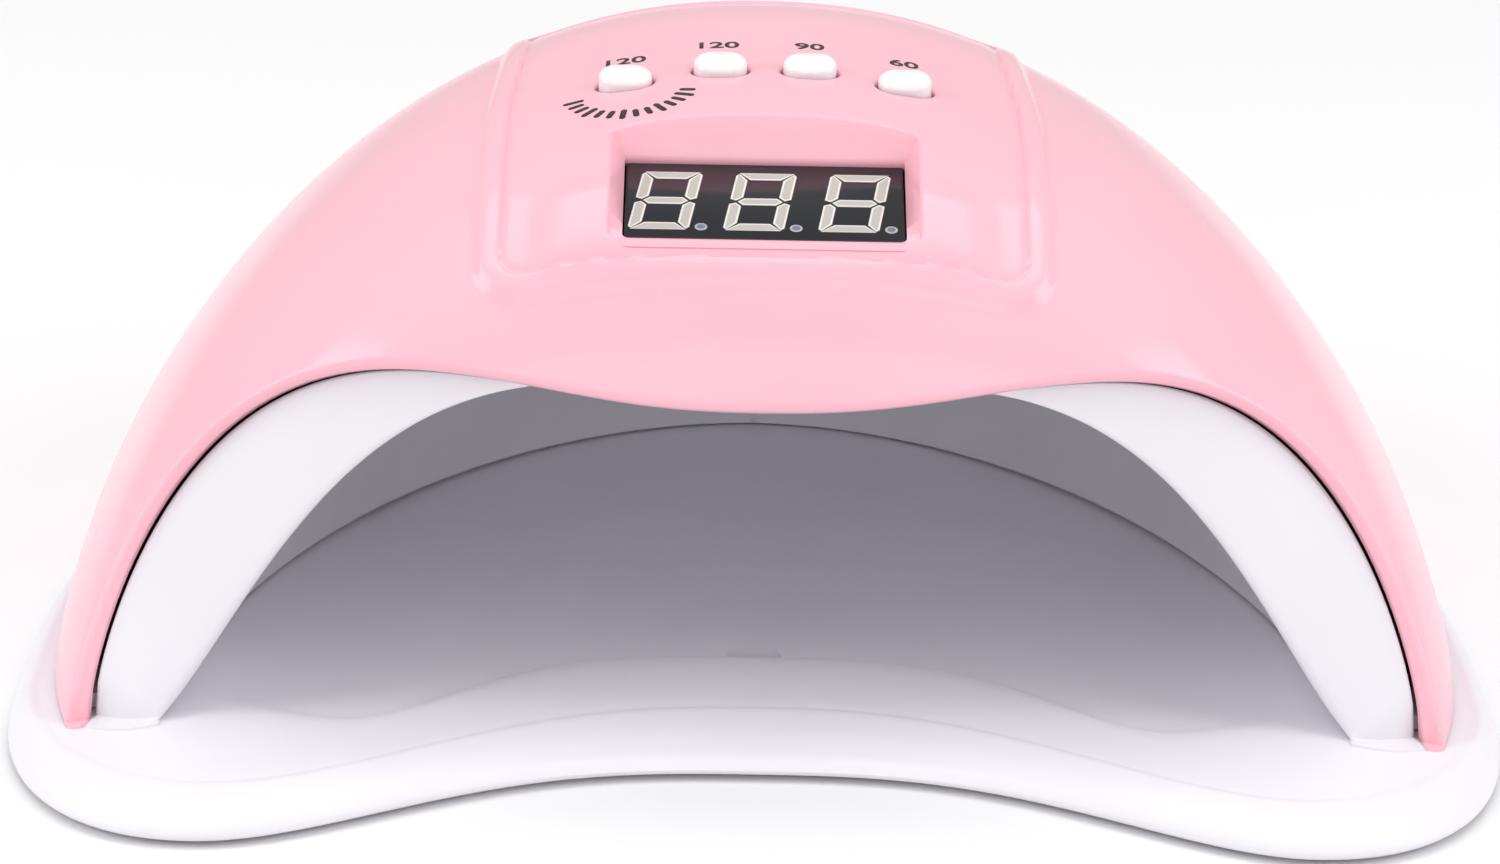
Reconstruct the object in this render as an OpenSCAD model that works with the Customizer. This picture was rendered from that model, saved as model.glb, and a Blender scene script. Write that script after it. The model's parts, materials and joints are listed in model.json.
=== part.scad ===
/* [Tray] */
// Half width of the base tray at its widest
tray_half_w = 101.5; // [95:0.5:110]
// Depth from the front hollow back to the widest place of the tray
tray_mid = 19; // [15:1:25]
// Length of the tray behind its widest place
tray_rear = 125.3; // [118:0.1:132]
// How far the two front lobes stand forward of the hollow between them
tray_lobe_drop = 24.3; // [18:0.1:28]
// Height of the seat that the lamp head stands on
tray_seat_z = 5.2; // [4.5:0.1:6]
// Depth of the shallow dish for the hand
dish_depth = 1.1; // [0.5:0.1:1.5]
// Wall thickness of the tray
tray_wall = 2; // [1.6:0.1:2.2]

/* [Dome] */
// Height of the lower edge of the lamp head above the table
head_z = 5.5; // [5.5:0.1:7]
// Height of the dome above that edge
dome_h = 76.7; // [70:0.1:82]
// Half width of the dome at its widest
dome_half_w = 96.4; // [92:0.1:98]
// Depth from the front hollow to the back of the dome
dome_back = 139; // [134:0.5:141]
// Wall thickness of the coloured housing
dome_wall = 2.2; // [1.8:0.1:2.6]
// Height that the control panel stands proud of the dome
panel_raise = 0.7; // [0.4:0.1:1]

/* [Cavity] */
// Half width of the hand cavity at its feet
cavity_half_w = 80; // [76:0.5:82]
// Height of the hand cavity above the lower edge of the head
cavity_h = 47.5; // [44:0.5:49]
// Depth from the front hollow to the back of the cavity
cavity_back = 126; // [120:0.5:127]
// Wall thickness of the inner shell
cavity_wall = 2; // [1.6:0.1:2.2]

/* [Panel] */
// Width of the display face
display_w = 37.6; // [37:0.1:38.5]
// Height of the display face along its slope
display_d = 19; // [18.5:0.1:19.5]
// Thickness of the display module
display_t = 8; // [7:0.1:8]
// Slope of the display and its board, in degrees
panel_tilt = 15; // [12:1:17]
// Width of a key cap
key_w = 7.4; // [6.5:0.1:8]
// Depth of a key cap
key_d = 5.2; // [4.5:0.1:5.6]
// Gap all round a key cap
key_gap = 0.5; // [0.4:0.05:0.6]

/* [Power] */
// Height of the power socket above the table
jack_z = 24; // [23:0.5:25]
// Radius of the centre pin of the power socket
jack_pin_r = 1; // [0.9:0.05:1.25]
// Radius of the barrel opening of the power socket
jack_bore_r = 3.1; // [2.9:0.05:3.2]

/* [Hidden] */
$fn = 48;

// Depths are counted back from the front hollow of the tray, and the frame's origin is this far behind it.
middle = 60;

// ---- small helpers ----
function mix(a, b, f) = a + (b - a) * f;
function smooth(s) = s <= 0 ? 0 : s >= 1 ? 1 : s * s * (3 - 2 * s);
function power(b, e) = b <= 0 ? 0 : pow(b, e);
// height of a superellipse quarter at the fraction r of its length
function quarter(r, n) = power(1 - power(min(1, r), n), 1 / n);
function place(x, depth, z) = [x, depth - middle, z];

// ---- closed skins from rows of points ----
function row_faces(n, m, from, flip) = [
    for (i = [0:n - 2], j = [0:m - 2])
        let (a = from + i * m + j, b = a + m, c = b + 1, d = a + 1)
        each flip ? [[a, b, c], [a, c, d]] : [[a, c, b], [a, d, c]]
];
function fan_faces(n, m, from, pole, flip) = [
    for (i = [0:n - 2])
        let (a = from + i * m + m - 1, b = a + m)
        flip ? [a, b, pole] : [a, pole, b]
];
// A wall between an outer and an inner sheet of n rows of m points, both closing in a pole at the back.
module walled_skin(outer, inner, outer_pole, inner_pole) {
    n = len(outer);
    m = len(outer[0]);
    second = n * m;
    po = 2 * n * m;
    pi = po + 1;
    points = concat([for (r = outer, p = r) p], [for (r = inner, p = r) p], [outer_pole, inner_pole]);
    front = [for (i = [0:n - 2]) let (a = i * m, b = a + m) each
        [[a, b, second + a], [b, second + b, second + a]]];
    low = [for (j = [0:m - 2]) let (a = j, b = j + 1) each
        [[a, second + a, b], [b, second + a, second + b]]];
    high = [for (j = [0:m - 2]) let (a = (n - 1) * m + j, b = a + 1) each
        [[a, b, second + a], [b, second + b, second + a]]];
    la = m - 1;
    ha = n * m - 1;
    ends = [[la, second + la, po], [po, second + la, pi], [ha, po, second + ha], [po, pi, second + ha]];
    polyhedron(points, concat(front,
        row_faces(n, m, 0, false), fan_faces(n, m, 0, po, false),
        row_faces(n, m, second, true), fan_faces(n, m, second, pi, true),
        low, high, ends), convexity = 8);
}

// ---- the dome ----
dome_widest = 32;
dome_front_reach = 102.7;
dome_top = 75;
dome_front_rise = 71.2;
function dome_width(t, in) = (dome_half_w - in) * (t < dome_widest
    ? quarter((dome_widest - t) / dome_front_reach, 2)
    : quarter((t - dome_widest) / (dome_back - in - dome_widest), 2.78));
function dome_height(t, in) = (dome_h - in) * (t < dome_top
    ? quarter((dome_top - t) / (dome_front_rise - in), 3.46)
    : quarter((t - dome_top) / (dome_back - in - dome_top), 2.6));
// how far the shape has changed from the boxy front arch to the round back, from 0 to 1
function dome_round(t) = 1 - pow(1 - min(1, max(0, t / dome_back)), 2);
// the wave of the front edge, from the visor over the shoulders to the feet
function edge_wave(u) = 1.43 * cos(2 * u) - 6.1 * cos(4 * u) + 1.13 * cos(6 * u);
function dome_edge(u, in) = 2 + edge_wave(u) - edge_wave(90) + in * cos(u);
function dome_point(u, t, in) = let (
    w = dome_round(t),
    side = power(abs(sin(u)), mix(0.8, 0.92, w)),
    rise = power(cos(u), mix(1.4, 1.26, w)))
    place(sign(u) * dome_width(t, in) * side, t, head_z + dome_height(t, in) * rise);
// how far a point lies inside the raised control panel, from 0 outside to 1
panel_half_w = 38.5;
panel_front = 14.6;
panel_rear = 106;
function panel_height(x, t) = panel_raise
    * smooth((panel_half_w - abs(x)) / 1.6 + 0.5)
    * smooth((t - panel_front) / 1.6 + 0.5) * smooth((panel_rear - t) / 3 + 0.5);
function raised(p) = p + [0, 0, panel_height(p[0], p[1] + middle)];

function dome_rows(n, m, in) = [
    for (i = [0:n - 1]) let (u = 90 * (2 * i / (n - 1) - 1), front = dome_edge(u, in)) [
        for (j = [0:m - 1]) let (p = dome_point(u, mix(front, dome_back - in, sin(90 * j / m)), in))
            in == 0 ? raised(p) : p]];

// ---- the hand cavity ----
cavity_widest = 2;
cavity_flat_to = 60;
function cavity_width(t, out) = (cavity_half_w + out)
    * quarter(max(0, t - cavity_widest) / (cavity_back + out - cavity_widest), 1.85);
function cavity_height(t, out) = (cavity_h + out)
    * quarter(max(0, t - cavity_flat_to) / (cavity_back + out - cavity_flat_to), 2.3);
function cavity_point(u, t, out) = let (
    w = smooth((t - 4) / 90),
    side = power(abs(sin(u)), mix(0.5, 0.9, w)),
    rise = power(cos(u), mix(2.8, 1.15, w)))
    place(sign(u) * cavity_width(t, out) * side, t, head_z + cavity_height(t, out) * rise);
function arch_edge(u) = 3.5 + 8.5 * cos(u);
lip_gap = 0.4;
// the first columns are the lip from the housing edge to the arch, the others run back over the vault
lip_steps = 4;
function lip_point(u, f, back) = let (
    from = dome_point(u, dome_edge(u, dome_wall + lip_gap), dome_wall + lip_gap),
    to = cavity_point(u, arch_edge(u), 0),
    crown = 1.2 * sin(180 * f))
    mix(from, to, f) + [0, back - crown * (1 - cos(u)), -crown * cos(u)];
function shell_rows(n, m, out) = [
    for (i = [0:n - 1]) let (u = 90 * (2 * i / (n - 1) - 1)) concat(
        [for (k = [0:lip_steps - 1]) lip_point(u, k / lip_steps, out)],
        [for (j = [0:m - 1])
            cavity_point(u, mix(arch_edge(u) + out, cavity_back + out, sin(90 * j / m)), out)])];

// ---- the tray outline, as [front, drop, sharpness, lobe_x, half_w, mid, rear, lobe_n, rear_n] ----
tray_rim = [0, tray_lobe_drop, 1.5, 73, tray_half_w, tray_mid, tray_rear, 2.2, 2.6];
tray_ridge = [12.7, 28.5, 1.3, 73, tray_half_w - 2.5, tray_mid, tray_rear - 2.5, 2, 2.6];
tray_dish = [32, 24.4, 1.9, 56, 76, 22, 102, 2, 2];
function outline_half(o, n) = concat(
    [for (i = [0:n - 1]) let (s = i / n) [o[3] * s, o[0] - o[1] * smooth(pow(s, o[2]))]],
    [for (i = [0:n - 1]) let (a = 90 * i / n)
        [o[3] + (o[4] - o[3]) * power(sin(a), 2 / o[7]), o[5] - (o[5] - o[0] + o[1]) * power(cos(a), 2 / o[7])]],
    [for (i = [0:n]) let (a = 90 * i / n)
        [o[4] * power(cos(a), 2 / o[8]), o[5] + o[6] * power(sin(a), 2 / o[8])]]);
function outline(o, n) = let (h = outline_half(o, n), k = len(h))
    concat(h, [for (i = [k - 2:-1:1]) [-h[i][0], h[i][1]]]);
function ring(o, z, n) = [for (p = outline(o, n)) place(p[0], p[1], z)];

// A closed solid through rings of points, with a centre point above and below.
module ring_solid(rings, top, bottom) {
    k = len(rings);
    n = len(rings[0]);
    points = concat([for (r = rings, p = r) p], [bottom, top]);
    sides = [for (j = [0:k - 2], i = [0:n - 1])
        let (a = j * n + i, b = j * n + (i + 1) % n, c = b + n, d = a + n)
        each [[a, c, b], [a, d, c]]];
    under = [for (i = [0:n - 1]) [i, (i + 1) % n, k * n]];
    over = [for (i = [0:n - 1]) let (q = (k - 1) * n) [q + i, k * n + 1, q + (i + 1) % n]];
    polyhedron(points, concat(sides, under, over), convexity = 8);
}

// ---- places ----
foot_places = [[-84, 2], [84, 2], [-62, 108], [62, 108]];
foot_r = 6;
foot_h = 1.6;
magnet_r = 4;
magnet_h = 2;
magnet_places = [[-86.8, 22], [86.8, 22], [-72, 92], [72, 92]];
// each with the height that its top reaches inside the dome
boss_places = [[-86.2, 36, 23], [86.2, 36, 23], [-60, 108, 42.5], [60, 108, 42.5], [-28, 128, 41], [28, 128, 41]];
boss_r = 3;
screw_r = 1.3;
screw_head_r = 2.4;
sole_t = 2;
seat_gap = 0.2;

module at_each(places) {
    for (p = places) translate(place(p[0], p[1], 0)) children();
}

// ---- base tray ----
tray_steps = 14;
module base_tray() {
    z = tray_seat_z;
    rim = tray_rim;
    ridge = tray_ridge;
    dish = tray_dish;
    heart = dish * 0.45 + [18, 0, 1, 0, 0, 20, 0, 1.2, 1.2];
    under = -tray_wall;
    rings = [
        ring(mix(ridge, dish, 0.95), z - dish_depth + under, tray_steps),
        ring(mix(ridge, dish, 0.5), z + under, tray_steps),
        ring(mix(rim, ridge, 0.75), z + under - 0.4, tray_steps),
        ring(mix(rim, ridge, 0.35), 0.5, tray_steps),
        ring(mix(rim, ridge, 0.08), 0.5, tray_steps),
        ring(rim, 1.5, tray_steps),
        ring(mix(rim, ridge, 0.1), 2.9, tray_steps),
        ring(mix(rim, ridge, 0.5), 4.5, tray_steps),
        ring(ridge, z + 0.1, tray_steps),
        ring(mix(ridge, dish, 0.15), z, tray_steps),
        ring(dish, z, tray_steps),
        ring(mix(dish, heart, 0.12), z - dish_depth * 0.8, tray_steps),
        ring(heart, z - dish_depth, tray_steps)
    ];
    color("lavenderblush") difference() {
        union() {
            ring_solid(rings, place(0, middle, z - dish_depth), place(0, middle, z - dish_depth + under));
            at_each(foot_places) translate([0, 0, 0.8]) cylinder(r = foot_r + 1.5, h = z - tray_wall - 0.4);
            at_each(magnet_places) translate([0, 0, 1.2]) cylinder(r = magnet_r + 1.5, h = 2.8);
        }
        at_each(foot_places) translate([0, 0, -1]) cylinder(r = foot_r + 0.1, h = 1 + foot_h);
        at_each(magnet_places) translate([0, 0, 0]) cylinder(r = magnet_r + 0.1, h = 1.4 + magnet_h);
    }
}

module tray_feet() {
    color("dimgray") at_each(foot_places) cylinder(r = foot_r, h = foot_h);
}

module tray_magnets() {
    color("silver") at_each(magnet_places) translate([0, 0, 1.4]) cylinder(r = magnet_r, h = magnet_h);
}

// ---- panel frame: centred on the display face, its z along the travel of the keys ----
display_depth = 28.2;
display_z = 72.5;
module on_panel() {
    translate(place(0, display_depth, display_z)) rotate([panel_tilt, 0, 0]) children();
}
key_places = [[-19.3, 27.6, 1.1], [-6.2, 30.7, 1.6], [6.2, 30.7, 1.6], [19.3, 27.6, 1.1]];
key_proud = 2.4;
key_foot_z = -3.6;
key_flange_t = 0.7;
key_flange = 0.8;
module pill(w, d, h) {
    linear_extrude(height = h) union() {
        square([w - d, d], center = true);
        for (s = [-1, 1]) translate([s * (w - d) / 2, 0]) circle(d = d);
    }
}

// ---- upper housing ----
dome_n = 41;
dome_m = 26;
well_wall = 1.6;
jack_face = dome_back - 0.5;
jack_nose_r = 4.2;
module window_well() {
    w = display_w / 2 + 0.3;
    d = display_d / 2 + 0.3;
    drop = -3;
    on_panel() {
        for (s = [-1, 1]) translate([s * (w + well_wall / 2) - well_wall / 2, 0, 0]) rotate([90, 0, 90])
            linear_extrude(height = well_wall) polygon([[-d, drop], [d, drop], [d, 2.6], [-d, -1.4]]);
        translate([-w - well_wall, d, drop]) cube([2 * (w + well_wall), well_wall, 5.6]);
        translate([-w - well_wall, -d - well_wall, drop]) cube([2 * (w + well_wall), well_wall, 1.2]);
    }
}
module upper_housing() {
    color("pink") difference() {
        union() {
            window_well();
            walled_skin(dome_rows(dome_n, dome_m, 0), dome_rows(dome_n, dome_m, dome_wall),
                place(0, dome_back, head_z), place(0, dome_back - dome_wall, head_z));
            for (b = boss_places) translate(place(b[0], b[1], head_z + sole_t + seat_gap))
                cylinder(r = boss_r, h = b[2] - head_z - sole_t - seat_gap);
        }
        on_panel() translate([-display_w / 2 - 0.3, -display_d / 2 - 0.3, -6])
            cube([display_w + 0.6, display_d + 0.6, 20]);
        on_panel() for (k = key_places) translate([k[0], k[1], -4])
            pill(key_w + 2 * key_gap, key_d + 2 * key_gap, 12);
        for (b = boss_places) translate(place(b[0], b[1], head_z))
            cylinder(r = screw_r + 0.1, h = 12);
        translate(place(0, dome_back - 8, jack_z)) rotate([-90, 0, 0]) cylinder(r = jack_nose_r + 0.2, h = 12);
    }
}

// ---- inner shell with the light holes ----
shell_n = 41;
shell_m = 20;
led_r = 2.4;
led_hole_r = 2.9;
ceiling_board_z = 57;
ceiling_board_depth = 50;
board_t = 1.2;
side_board_x = 63.7;
side_board_z = 30.8;
side_board_depth = 50;
side_board_tilt = 52;
side_board_yaw = 9;
rear_board_depth = 111.8;
rear_board_z = 44.6;
rear_board_tilt = 50;
// each board's frame: its z points away from the cavity, and its origin is at the middle of its cavity side
module on_ceiling_board() {
    translate(place(0, ceiling_board_depth, ceiling_board_z)) children();
}
module on_side_board(s) {
    translate(place(s * side_board_x, side_board_depth, side_board_z)) rotate([0, s * side_board_tilt, 0])
        rotate([-side_board_yaw, 0, 0]) children();
}
module on_rear_board() {
    translate(place(0, rear_board_depth, rear_board_z)) rotate([-rear_board_tilt, 0, 0]) children();
}
module grid_of(nx, ny, px, py) {
    for (i = [0:nx - 1], j = [0:ny - 1])
        translate([(i - (nx - 1) / 2) * px, (j - (ny - 1) / 2) * py, 0]) children();
}
// children are drawn at every light
module at_each_led() {
    on_ceiling_board() grid_of(4, 4, 13, 14) children();
    for (s = [-1, 1]) on_side_board(s) grid_of(2, 4, 11, 16) children();
    on_rear_board() grid_of(3, 1, 12, 1) children();
}
ceiling_board_w = 58;
ceiling_board_d = 58;
side_board_w = 26;
side_board_d = 60;
rear_board_w = 44;
rear_board_d = 12;
post_inset = 2.6;
// posts of the inner shell that carry a board of width w, each this long
module board_posts(w, length) {
    for (s = [-1, 1]) translate([s * (w / 2 - post_inset), 0, -length]) difference() {
        cylinder(r = 2, h = length);
        translate([0, 0, length - 3.4]) cylinder(r = 1.05, h = 5);
    }
}
module inner_shell() {
    color("ghostwhite") difference() {
        union() {
            walled_skin(shell_rows(shell_n, shell_m, cavity_wall), shell_rows(shell_n, shell_m, 0),
                place(0, cavity_back + cavity_wall, head_z), place(0, cavity_back, head_z));
            on_ceiling_board() board_posts(ceiling_board_w, 6.2);
            for (s = [-1, 1]) on_side_board(s) board_posts(side_board_w, 6.3);
            on_rear_board() board_posts(rear_board_w, 8.6);
        }
        at_each_led() translate([0, 0, -12]) cylinder(r = led_hole_r, h = 12);
        for (s = [-1, 1]) translate(place(s * sensor_x, sensor_depth, 40)) cylinder(r = sensor_r + 0.4, h = 20);
    }
}

// ---- sole ring under the head, between the inner shell and the housing ----
sole_front = 9;
function base_curve(from, to, steps, width) = concat(
    [for (i = [0:steps]) let (t = mix(from, to, sin(90 * i / steps))) [width[i], t]],
    [for (i = [steps - 1:-1:0]) let (t = mix(from, to, sin(90 * i / steps))) [-width[i], t]]);
sole_steps = 24;
module sole_ring() {
    out_back = dome_back - dome_wall - 0.4;
    in_back = cavity_back + cavity_wall + 0.4;
    outer = base_curve(sole_front, out_back, sole_steps,
        [for (i = [0:sole_steps]) dome_width(mix(sole_front, out_back, sin(90 * i / sole_steps)), dome_wall + 0.4)]);
    inner = base_curve(sole_front - 1, in_back, sole_steps,
        [for (i = [0:sole_steps])
            cavity_width(mix(sole_front - 1, in_back, sin(90 * i / sole_steps)), cavity_wall + 0.4)]);
    color("ghostwhite") translate([0, -middle, head_z]) difference() {
        linear_extrude(height = sole_t) difference() {
            polygon(outer);
            polygon(inner);
        }
        for (b = boss_places) translate([b[0], b[1], -1]) {
            cylinder(r = screw_r + 0.3, h = 5);
            cylinder(r = screw_head_r + 0.2, h = 1 + 1.3);
        }
        for (p = magnet_places) translate([p[0], p[1], 0.8]) cylinder(r = magnet_r + 0.1, h = 5);
    }
}

module head_magnets() {
    color("silver") at_each(magnet_places) translate([0, 0, head_z + 0.8]) cylinder(r = magnet_r, h = magnet_h);
}

// a pan-head screw with a cross slot, its head's outer face at z = 0 and its shaft upwards
module screw(r, head_r, length) {
    difference() {
        union() {
            cylinder(r = head_r, h = 1.2);
            cylinder(r = r, h = length);
        }
        for (a = [0, 90]) rotate([0, 0, a]) translate([-head_r * 0.6, -0.25, -1]) cube([head_r * 1.2, 0.5, 1.6]);
    }
}
module housing_screws() {
    color("silver") at_each(boss_places) translate([0, 0, head_z + 0.1]) screw(screw_r, screw_head_r, 9);
}

// ---- control board and what it carries ----
board_half_w = 27;
board_front = -12.5;
board_rear = 37;
board_top = -display_t;
board_thick = 1.6;
board_screw_places = [[-23.5, 16], [23.5, 16], [-23.5, 34.6], [23.5, 34.6]];
pin_row = 7.62;
pin_pitch = 2.54;
module at_each_display_pin() {
    for (s = [-1, 1], i = [0:5]) translate([(i - 2.5) * pin_pitch, s * pin_row, board_top]) children();
}
module control_board() {
    color("darkgreen") on_panel() difference() {
        translate([-board_half_w, board_front, board_top - board_thick])
            cube([2 * board_half_w, board_rear - board_front, board_thick]);
        at_each_display_pin() translate([0, 0, -3]) cylinder(r = 0.45, h = 5, $fn = 16);
        for (p = board_screw_places) translate([p[0], p[1], board_top - 3]) cylinder(r = 1.4, h = 5);
    }
}
spacer_h = 3;
module board_spacers() {
    color("ghostwhite") on_panel() for (p = board_screw_places) translate([p[0], p[1], board_top]) difference() {
        cylinder(r = 2.4, h = spacer_h);
        translate([0, 0, -1]) cylinder(r = 1.25, h = spacer_h + 2);
    }
}
module board_screws() {
    color("silver") on_panel() for (p = board_screw_places)
        translate([p[0], p[1], board_top - board_thick - 1.2]) screw(1.2, 2.1, 5.5);
}
module display_body() {
    color("black") on_panel() difference() {
        translate([-display_w / 2, -display_d / 2, -display_t]) cube([display_w, display_d, display_t]);
        digits(0.25, 0.5) segment_shape(0.16);
        digits(0.25, 0.5) point_shape(0.16);
    }
}
module display_pins() {
    color("silver") on_panel() at_each_display_pin() translate([0, 0, -3]) cylinder(r = 0.25, h = 3, $fn = 16);
}

// digits: three seven-segment figures with a point, leaning to the right
digit_pitch = 12.7;
digit_h = 14.2;
digit_w = 8.2;
segment_w = 1.55;
digit_lean = 7.5;
segment_gap = 0.5;
module digits(depth, over) {
    lean = tan(digit_lean);
    for (i = [-1:1]) translate([i * digit_pitch, 0, -depth])
        multmatrix([[1, lean, 0, 0], [0, 1, 0, 0], [0, 0, 1, 0]])
            linear_extrude(height = depth + over) children();
}
function bar(length, w) = [
    [-length / 2, 0], [-length / 2 + w / 2, w / 2], [length / 2 - w / 2, w / 2],
    [length / 2, 0], [length / 2 - w / 2, -w / 2], [-length / 2 + w / 2, -w / 2]];
module segment_shape(grow) {
    across = digit_w - segment_w - segment_gap + 2 * grow;
    upright = (digit_h - segment_w) / 2 - segment_gap + 2 * grow;
    w = segment_w + 2 * grow;
    for (s = [-1:1]) translate([0, s * (digit_h - segment_w) / 2]) polygon(bar(across, w));
    for (s = [-1, 1], q = [-1, 1]) translate([q * (digit_w - segment_w) / 2, s * (digit_h - segment_w) / 4])
        rotate(90) polygon(bar(upright, w));
}
module point_shape(grow) {
    translate([digit_w / 2 + 1.3, -digit_h / 2 + 0.8]) circle(r = 0.8 + grow);
}
module display_segments() {
    color("gainsboro") on_panel() translate([0, 0, -0.05]) {
        digits(0.2, 0) segment_shape(0);
        digits(0.2, 0) point_shape(0);
    }
}

switch_size = 6;
switch_h = 3.3;
plunger_r = 1.7;
plunger_in = 1.2;
key_travel = 0.5;
module switch_bodies() {
    color("dimgray") on_panel() for (k = key_places) translate([k[0], k[1], board_top]) difference() {
        translate([-switch_size / 2, -switch_size / 2, 0]) cube([switch_size, switch_size, switch_h]);
        translate([0, 0, switch_h - plunger_in - key_travel - 0.2]) cylinder(r = plunger_r + 0.08, h = 5);
    }
}
module key_plunger(k) {
    color("black") on_panel() translate([k[0], k[1], board_top + switch_h - plunger_in])
        cylinder(r = plunger_r, h = key_foot_z - board_top - switch_h + plunger_in);
}
module key_cap(k) {
    color("white") on_panel() translate([k[0], k[1], key_foot_z]) {
        pill(key_w, key_d, k[2] + key_proud - key_foot_z);
        pill(key_w + 2 * key_flange, key_d + 2 * key_flange, key_flange_t);
    }
}

module microcontroller() {
    color("black") on_panel() translate([-5, 13, board_top]) {
        cube([10, 4, 1.6]);
        for (s = [0, 1], i = [0:7]) translate([0.5 + i * 1.27 - 0.2, s * 5 - 1, 0]) cube([0.4, 1, 0.8]);
    }
}
module inductor() {
    color("saddlebrown") on_panel() translate([12, 15.5, board_top]) difference() {
        cylinder(r = 3.6, h = 3.6);
        translate([0, 0, 0.8]) rotate_extrude() translate([3, 0]) square([2, 2]);
    }
}
module capacitor() {
    color("midnightblue") on_panel() translate([-14.5, 15.8, board_top]) {
        cylinder(r = 3.1, h = 0.8);
        cylinder(r = 2.9, h = 4.4);
    }
}
module power_transistors() {
    color("black") on_panel() for (i = [-1:1]) translate([i * 8 - 2.5, 20.5, board_top]) {
        cube([5, 4, 1.5]);
        translate([0.5, -0.6, 0]) cube([4, 5.2, 0.5]);
    }
}
connector_x = [-17.4, -5.8, 5.8, 17.4];
module board_connectors() {
    color("ivory") on_panel() for (x = connector_x)
        translate([x - 3.5, 30.5, board_top - board_thick - 4]) difference() {
            cube([7, 5, 4]);
            translate([1, 1.2, -1]) cube([5, 2.6, 3.6]);
        }
}

// ---- light boards ----
module led_board(w, d) {
    difference() {
        translate([-w / 2, -d / 2, 0]) cube([w, d, board_t]);
        for (s = [-1, 1]) translate([s * (w / 2 - post_inset), 0, -1]) cylinder(r = 1.2, h = 4);
    }
}
module ceiling_led_board() {
    color("whitesmoke") on_ceiling_board() led_board(ceiling_board_w, ceiling_board_d);
}
module left_led_board() {
    color("whitesmoke") on_side_board(-1) led_board(side_board_w, side_board_d);
}
module right_led_board() {
    color("whitesmoke") on_side_board(1) led_board(side_board_w, side_board_d);
}
module rear_led_board() {
    color("whitesmoke") on_rear_board() led_board(rear_board_w, rear_board_d);
}
module board_fixings(w) {
    for (s = [-1, 1]) translate([s * (w / 2 - post_inset), 0, board_t + 1.2]) mirror([0, 0, 1]) screw(1, 1.8, 5);
}
module light_board_screws() {
    color("silver") {
        on_ceiling_board() board_fixings(ceiling_board_w);
        for (s = [-1, 1]) on_side_board(s) board_fixings(side_board_w);
        on_rear_board() board_fixings(rear_board_w);
    }
}
package_size = 3.5;
package_t = 0.8;
module led_packages() {
    color("khaki") at_each_led() translate([-package_size / 2, -package_size / 2, -package_t])
        cube([package_size, package_size, package_t]);
}
lens_reach = 5.4;
module led_lenses() {
    color("lightcyan") at_each_led() translate([0, 0, -package_t - lens_reach]) {
        translate([0, 0, led_r * 0.7]) cylinder(r = led_r, h = lens_reach - led_r * 0.7);
        intersection() {
            translate([0, 0, led_r * 0.7]) sphere(r = led_r);
            translate([-led_r, -led_r, -1]) cube([2 * led_r, 2 * led_r, 1 + led_r * 0.7]);
        }
    }
}

// ---- presence sensor in the front of the ceiling ----
sensor_x = 5;
sensor_depth = 18;
sensor_r = 1.5;
module sensor(s) {
    translate(place(s * sensor_x, sensor_depth, 53)) {
        cylinder(r = sensor_r, h = 4.6);
        translate([0, 0, 4.6]) cylinder(r = sensor_r + 0.5, h = 0.8);
        sphere(r = sensor_r);
    }
}
module sensor_emitter() { color("lightcyan") sensor(-1); }
module sensor_receiver() { color("black") sensor(1); }

// ---- power socket in the back ----
jack_len = 11.6;
module along_back() {
    translate(place(0, jack_face, jack_z)) rotate([90, 0, 0]) children();
}
module jack_housing() {
    color("dimgray") along_back() difference() {
        union() {
            cylinder(r = jack_nose_r, h = 4);
            translate([-4.5, -5, 3]) cube([9, 10, jack_len - 3]);
        }
        translate([0, 0, -1]) cylinder(r = jack_bore_r, h = jack_len - 0.8);
        translate([-1, jack_bore_r - 0.6, 5]) cube([2, 1.4, 4.6]);
    }
}
jack_pin_len = 8.2;
module jack_pin() {
    color("silver") along_back() translate([0, 0, jack_len - 1.8 - jack_pin_len])
        cylinder(r = jack_pin_r, h = jack_pin_len);
}
module jack_spring() {
    color("gold") along_back() translate([-0.8, jack_bore_r - 0.45, 5.2]) cube([1.6, 0.3, 4.2]);
}

// ---- internal leads, as tubes along hand-laid routes ----
lead_r = 0.8;
lead_sides = 8;
function unit(v) = v / norm(v);
function heading(path, i) = unit(path[min(i + 1, len(path) - 1)] - path[max(i - 1, 0)]);
function across(d) = unit(cross(d, abs(d[2]) > 0.8 ? [1, 0, 0] : [0, 0, 1]));
module tube(path, r) {
    k = len(path);
    n = lead_sides;
    points = [for (i = [0:k - 1]) let (d = heading(path, i), a = across(d), b = cross(d, a))
        for (j = [0:n - 1]) path[i] + r * (cos(360 * j / n) * a + sin(360 * j / n) * b)];
    sides = [for (i = [0:k - 2], j = [0:n - 1])
        let (a = i * n + j, b = i * n + (j + 1) % n)
        each [[a, b + n, b], [a, a + n, b + n]]];
    caps = [for (j = [1:n - 2]) each
        [[0, j, j + 1], [(k - 1) * n, (k - 1) * n + j + 1, (k - 1) * n + j]]];
    polyhedron(points, concat(sides, caps), convexity = 6);
}
// the power pair climbs from the socket over the vault to its connector
power_route = [[0, 129, 30.4], [0, 125.5, 33], [0, 121.5, 40], [0, 115, 50.5], [-1, 104, 61], [-2.5, 91, 65],
    [-4.5, 76, 65.5], [-5.6, 68, 65.6], [-6, 65.6, 66.6]];
// a pair from the control board down to the ceiling board, and one from there to the rear board
ceiling_route = [[6, 65.6, 66.6], [6, 66.5, 64.4], [6, 69, 61.8], [6, 72.5, 60], [6, 76, 59.3]];
rear_route = [[-6, 76, 59.3], [-6, 84, 61], [-6, 94, 60], [-6, 103, 56], [-6, 109, 50.5]];
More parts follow.
